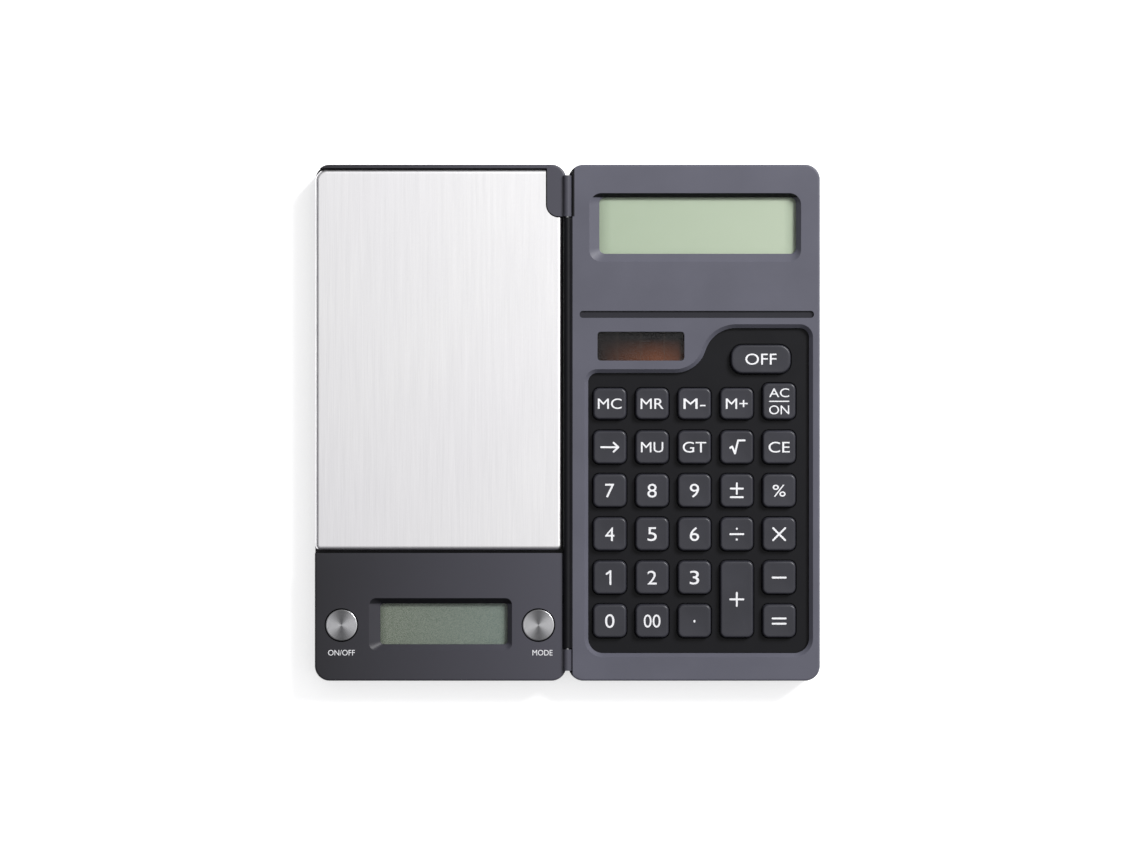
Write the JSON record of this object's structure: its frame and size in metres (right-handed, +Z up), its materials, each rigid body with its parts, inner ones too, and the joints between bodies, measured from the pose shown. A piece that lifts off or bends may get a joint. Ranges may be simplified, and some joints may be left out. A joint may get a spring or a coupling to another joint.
{
  "type": "desk calculator",
  "caption": "Folding pocket calculator open flat like a book: keypad leaf with display and solar cell, cover leaf with a steel weighing platform and its own display.",
  "frame": {"origin": "under the hinge, midway along it, on the surface that the feet stand on", "axes": "+X across to the keypad leaf, +Y along the hinge to the display end, +Z up"},
  "size_m": [0.136, 0.139, 0.0122],
  "materials": {
    "face_plastic": "fine satin texture, dark bluish grey",
    "panel_plastic": "fine satin texture, near-black blue grey",
    "rear_plastic": "fine moulded texture, black",
    "key_plastic": "satin keys with pale legends",
    "clear_lens": "clear polished acrylic",
    "lcd_green": "pale green reflective display, blank",
    "lcd_grey": "grey green reflective display, blank",
    "solar_glass": "dark red-brown amorphous cell",
    "circuit_board": "green solder mask",
    "silicone_grey": "translucent grey silicone",
    "silicone_black": "striped conductive silicone",
    "foot_rubber": "matte black",
    "cell_steel": "nickel plated can",
    "spring_brass": "sprung strip",
    "pin_steel": "ground rod",
    "black_screw": "black oxide",
    "beam_aluminium": "milled",
    "brushed_plate": "brushed along the hinge direction",
    "bracket_plastic": "moulded white",
    "spun_metal": "concentric spun finish"
  },
  "bodies": {
    "calculator": {"front_cover": "face_plastic", "rear_cover": "rear_plastic", "case_screws": "black_screw", "rubber_feet": "foot_rubber", "window_lenses": "clear_lens", "lcd_glass": "lcd_green", "zebra_strip": "silicone_black", "solar_cell": "solar_glass", "main_board": "circuit_board", "key_mat": "silicone_grey", "button_cell": "cell_steel", "cell_clip": "spring_brass", "hinge_pin": "pin_steel"},
    "scale_leaf": {"scale_panel": "panel_plastic", "scale_base": "rear_plastic", "scale_screws": "black_screw", "scale_feet": "foot_rubber", "scale_lens": "clear_lens", "scale_lcd": "lcd_grey", "scale_zebra": "silicone_black", "scale_board": "circuit_board", "scale_button_mat": "silicone_grey", "load_cell": "beam_aluminium", "coin_cells": "cell_steel", "coin_cell_contacts": "spring_brass"},
    "platform": {"weighing_platform": "brushed_plate", "platform_bracket": "bracket_plastic"},
    "coin_cell_door": {"coin_cell_door": "rear_plastic"},
    "key_off": {"key_off": "key_plastic"},
    "key_mc": {"key_mc": "key_plastic"},
    "key_mr": {"key_mr": "key_plastic"},
    "key_m_minus": {"key_m_minus": "key_plastic"},
    "key_m_plus": {"key_m_plus": "key_plastic"},
    "key_ac_on": {"key_ac_on": "key_plastic"},
    "key_backspace": {"key_backspace": "key_plastic"},
    "key_mu": {"key_mu": "key_plastic"},
    "key_gt": {"key_gt": "key_plastic"},
    "key_root": {"key_root": "key_plastic"},
    "key_ce": {"key_ce": "key_plastic"},
    "key_7": {"key_7": "key_plastic"},
    "key_8": {"key_8": "key_plastic"},
    "key_9": {"key_9": "key_plastic"},
    "key_sign": {"key_sign": "key_plastic"},
    "key_percent": {"key_percent": "key_plastic"},
    "key_4": {"key_4": "key_plastic"},
    "key_5": {"key_5": "key_plastic"},
    "key_6": {"key_6": "key_plastic"},
    "key_divide": {"key_divide": "key_plastic"},
    "key_times": {"key_times": "key_plastic"},
    "key_1": {"key_1": "key_plastic"},
    "key_2": {"key_2": "key_plastic"},
    "key_3": {"key_3": "key_plastic"},
    "key_minus": {"key_minus": "key_plastic"},
    "key_plus": {"key_plus": "key_plastic"},
    "key_0": {"key_0": "key_plastic"},
    "key_00": {"key_00": "key_plastic"},
    "key_point": {"key_point": "key_plastic"},
    "key_equals": {"key_equals": "key_plastic"},
    "power_button": {"power_button": "spun_metal"},
    "mode_button": {"mode_button": "spun_metal"}
  },
  "joints": [
    {"name": "cover_hinge", "type": "hinge", "parent": "calculator", "child": "scale_leaf", "pos_m": [0, 0, 0.01115], "axis": [0, 1, 0], "range_deg": [0, 180]},
    {"name": "platform_press", "type": "slide", "parent": "scale_leaf", "child": "platform", "axis": [0, 0, -1], "range_m": [0, 0.00035], "stiffness_N_per_m": 14000, "springref_m": -0.00005, "deforming": ["load_cell"]},
    {"name": "door_slide", "type": "slide", "parent": "scale_leaf", "child": "coin_cell_door", "axis": [0, -1, 0], "range_m": [0, 0.006]},
    {"name": "press_off", "type": "slide", "parent": "calculator", "child": "key_off", "axis": [0, 0, -1], "range_m": [0, 0.0008], "stiffness_N_per_m": 700, "springref_m": -0.0004, "deforming": ["key_mat"]},
    {"name": "press_mc", "type": "slide", "parent": "calculator", "child": "key_mc", "axis": [0, 0, -1], "range_m": [0, 0.0008], "stiffness_N_per_m": 700, "springref_m": -0.0004, "deforming": ["key_mat"]},
    {"name": "press_mr", "type": "slide", "parent": "calculator", "child": "key_mr", "axis": [0, 0, -1], "range_m": [0, 0.0008], "stiffness_N_per_m": 700, "springref_m": -0.0004, "deforming": ["key_mat"]},
    {"name": "press_m_minus", "type": "slide", "parent": "calculator", "child": "key_m_minus", "axis": [0, 0, -1], "range_m": [0, 0.0008], "stiffness_N_per_m": 700, "springref_m": -0.0004, "deforming": ["key_mat"]},
    {"name": "press_m_plus", "type": "slide", "parent": "calculator", "child": "key_m_plus", "axis": [0, 0, -1], "range_m": [0, 0.0008], "stiffness_N_per_m": 700, "springref_m": -0.0004, "deforming": ["key_mat"]},
    {"name": "press_ac_on", "type": "slide", "parent": "calculator", "child": "key_ac_on", "axis": [0, 0, -1], "range_m": [0, 0.0008], "stiffness_N_per_m": 700, "springref_m": -0.0004, "deforming": ["key_mat"]},
    {"name": "press_backspace", "type": "slide", "parent": "calculator", "child": "key_backspace", "axis": [0, 0, -1], "range_m": [0, 0.0008], "stiffness_N_per_m": 700, "springref_m": -0.0004, "deforming": ["key_mat"]},
    {"name": "press_mu", "type": "slide", "parent": "calculator", "child": "key_mu", "axis": [0, 0, -1], "range_m": [0, 0.0008], "stiffness_N_per_m": 700, "springref_m": -0.0004, "deforming": ["key_mat"]},
    {"name": "press_gt", "type": "slide", "parent": "calculator", "child": "key_gt", "axis": [0, 0, -1], "range_m": [0, 0.0008], "stiffness_N_per_m": 700, "springref_m": -0.0004, "deforming": ["key_mat"]},
    {"name": "press_root", "type": "slide", "parent": "calculator", "child": "key_root", "axis": [0, 0, -1], "range_m": [0, 0.0008], "stiffness_N_per_m": 700, "springref_m": -0.0004, "deforming": ["key_mat"]},
    {"name": "press_ce", "type": "slide", "parent": "calculator", "child": "key_ce", "axis": [0, 0, -1], "range_m": [0, 0.0008], "stiffness_N_per_m": 700, "springref_m": -0.0004, "deforming": ["key_mat"]},
    {"name": "press_7", "type": "slide", "parent": "calculator", "child": "key_7", "axis": [0, 0, -1], "range_m": [0, 0.0008], "stiffness_N_per_m": 700, "springref_m": -0.0004, "deforming": ["key_mat"]},
    {"name": "press_8", "type": "slide", "parent": "calculator", "child": "key_8", "axis": [0, 0, -1], "range_m": [0, 0.0008], "stiffness_N_per_m": 700, "springref_m": -0.0004, "deforming": ["key_mat"]},
    {"name": "press_9", "type": "slide", "parent": "calculator", "child": "key_9", "axis": [0, 0, -1], "range_m": [0, 0.0008], "stiffness_N_per_m": 700, "springref_m": -0.0004, "deforming": ["key_mat"]},
    {"name": "press_sign", "type": "slide", "parent": "calculator", "child": "key_sign", "axis": [0, 0, -1], "range_m": [0, 0.0008], "stiffness_N_per_m": 700, "springref_m": -0.0004, "deforming": ["key_mat"]},
    {"name": "press_percent", "type": "slide", "parent": "calculator", "child": "key_percent", "axis": [0, 0, -1], "range_m": [0, 0.0008], "stiffness_N_per_m": 700, "springref_m": -0.0004, "deforming": ["key_mat"]},
    {"name": "press_4", "type": "slide", "parent": "calculator", "child": "key_4", "axis": [0, 0, -1], "range_m": [0, 0.0008], "stiffness_N_per_m": 700, "springref_m": -0.0004, "deforming": ["key_mat"]},
    {"name": "press_5", "type": "slide", "parent": "calculator", "child": "key_5", "axis": [0, 0, -1], "range_m": [0, 0.0008], "stiffness_N_per_m": 700, "springref_m": -0.0004, "deforming": ["key_mat"]},
    {"name": "press_6", "type": "slide", "parent": "calculator", "child": "key_6", "axis": [0, 0, -1], "range_m": [0, 0.0008], "stiffness_N_per_m": 700, "springref_m": -0.0004, "deforming": ["key_mat"]},
    {"name": "press_divide", "type": "slide", "parent": "calculator", "child": "key_divide", "axis": [0, 0, -1], "range_m": [0, 0.0008], "stiffness_N_per_m": 700, "springref_m": -0.0004, "deforming": ["key_mat"]},
    {"name": "press_times", "type": "slide", "parent": "calculator", "child": "key_times", "axis": [0, 0, -1], "range_m": [0, 0.0008], "stiffness_N_per_m": 700, "springref_m": -0.0004, "deforming": ["key_mat"]},
    {"name": "press_1", "type": "slide", "parent": "calculator", "child": "key_1", "axis": [0, 0, -1], "range_m": [0, 0.0008], "stiffness_N_per_m": 700, "springref_m": -0.0004, "deforming": ["key_mat"]},
    {"name": "press_2", "type": "slide", "parent": "calculator", "child": "key_2", "axis": [0, 0, -1], "range_m": [0, 0.0008], "stiffness_N_per_m": 700, "springref_m": -0.0004, "deforming": ["key_mat"]},
    {"name": "press_3", "type": "slide", "parent": "calculator", "child": "key_3", "axis": [0, 0, -1], "range_m": [0, 0.0008], "stiffness_N_per_m": 700, "springref_m": -0.0004, "deforming": ["key_mat"]},
    {"name": "press_minus", "type": "slide", "parent": "calculator", "child": "key_minus", "axis": [0, 0, -1], "range_m": [0, 0.0008], "stiffness_N_per_m": 700, "springref_m": -0.0004, "deforming": ["key_mat"]},
    {"name": "press_plus", "type": "slide", "parent": "calculator", "child": "key_plus", "axis": [0, 0, -1], "range_m": [0, 0.0008], "stiffness_N_per_m": 700, "springref_m": -0.0004, "deforming": ["key_mat"]},
    {"name": "press_0", "type": "slide", "parent": "calculator", "child": "key_0", "axis": [0, 0, -1], "range_m": [0, 0.0008], "stiffness_N_per_m": 700, "springref_m": -0.0004, "deforming": ["key_mat"]},
    {"name": "press_00", "type": "slide", "parent": "calculator", "child": "key_00", "axis": [0, 0, -1], "range_m": [0, 0.0008], "stiffness_N_per_m": 700, "springref_m": -0.0004, "deforming": ["key_mat"]},
    {"name": "press_point", "type": "slide", "parent": "calculator", "child": "key_point", "axis": [0, 0, -1], "range_m": [0, 0.0008], "stiffness_N_per_m": 700, "springref_m": -0.0004, "deforming": ["key_mat"]},
    {"name": "press_equals", "type": "slide", "parent": "calculator", "child": "key_equals", "axis": [0, 0, -1], "range_m": [0, 0.0008], "stiffness_N_per_m": 700, "springref_m": -0.0004, "deforming": ["key_mat"]},
    {"name": "press_power", "type": "slide", "parent": "scale_leaf", "child": "power_button", "axis": [0, 0, -1], "range_m": [0, 0.0005], "stiffness_N_per_m": 900, "springref_m": -0.0003, "deforming": ["scale_button_mat"]},
    {"name": "press_mode", "type": "slide", "parent": "scale_leaf", "child": "mode_button", "axis": [0, 0, -1], "range_m": [0, 0.0005], "stiffness_N_per_m": 900, "springref_m": -0.0003, "deforming": ["scale_button_mat"]}
  ]
}
